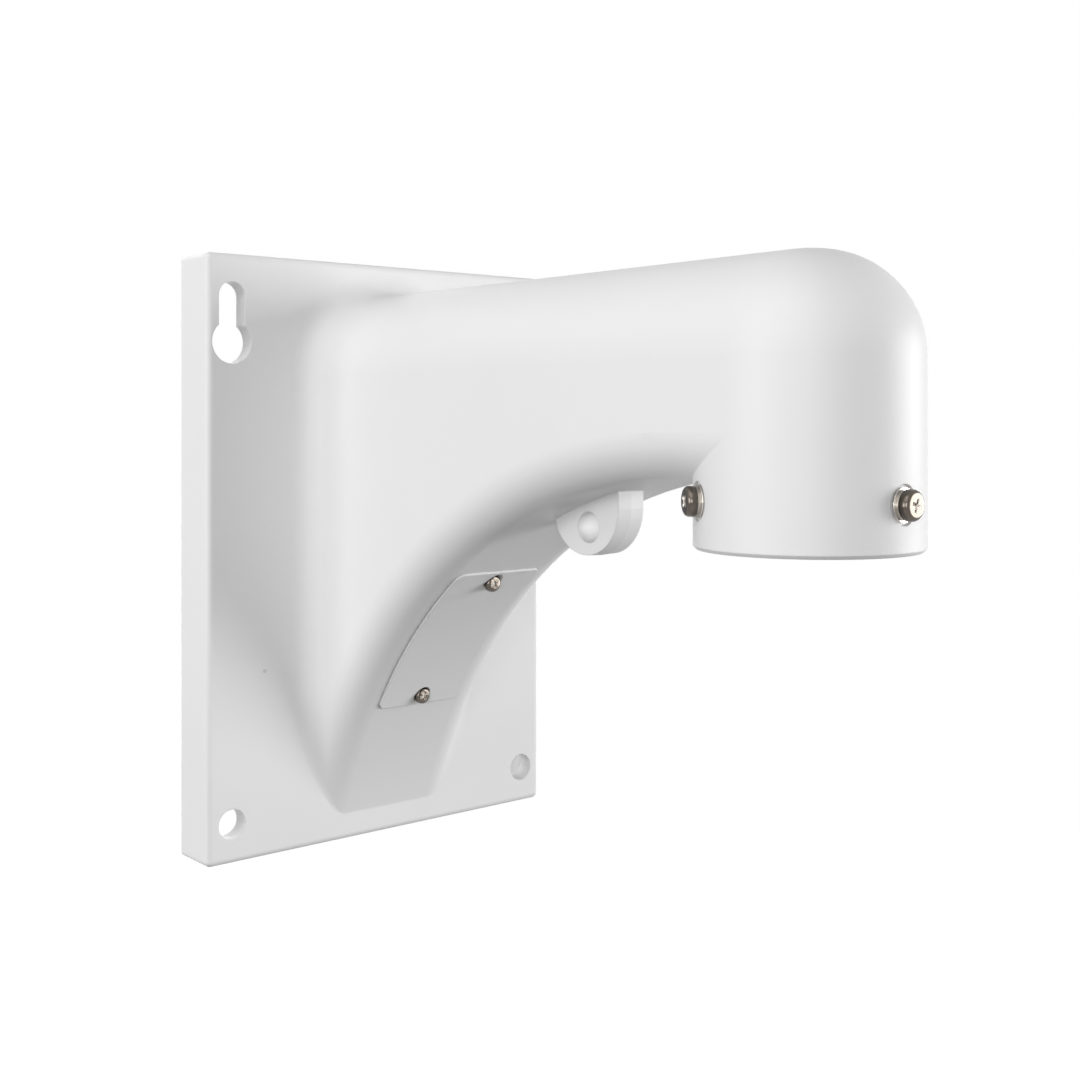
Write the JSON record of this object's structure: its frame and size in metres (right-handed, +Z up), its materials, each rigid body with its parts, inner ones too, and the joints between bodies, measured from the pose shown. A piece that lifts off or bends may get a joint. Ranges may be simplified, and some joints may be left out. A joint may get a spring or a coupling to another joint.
{
  "type": "camera wall bracket",
  "caption": "Cast wall bracket with a hollow curved arm, a cable hatch, a safety eye and a threaded collar that carries a hanging camera.",
  "frame": {"origin": "centre of the wall face of the plate", "axes": "+Z up, the wall is the plane y = 0 and the arm reaches along -Y"},
  "size_m": [0.14, 0.2405, 0.2],
  "materials": {
    "powder_coat": "fine satin powder coat on cast aluminium",
    "screw_steel": "bright stainless steel"
  },
  "bodies": {
    "root": {"bracket_casting": "powder_coat", "hatch_cover": "powder_coat", "hatch_screws": "screw_steel", "hatch_spring_washers": "screw_steel", "clamp_screws": "screw_steel", "clamp_spring_washers": "screw_steel", "clamp_flat_washers": "screw_steel"}
  },
  "joints": []
}
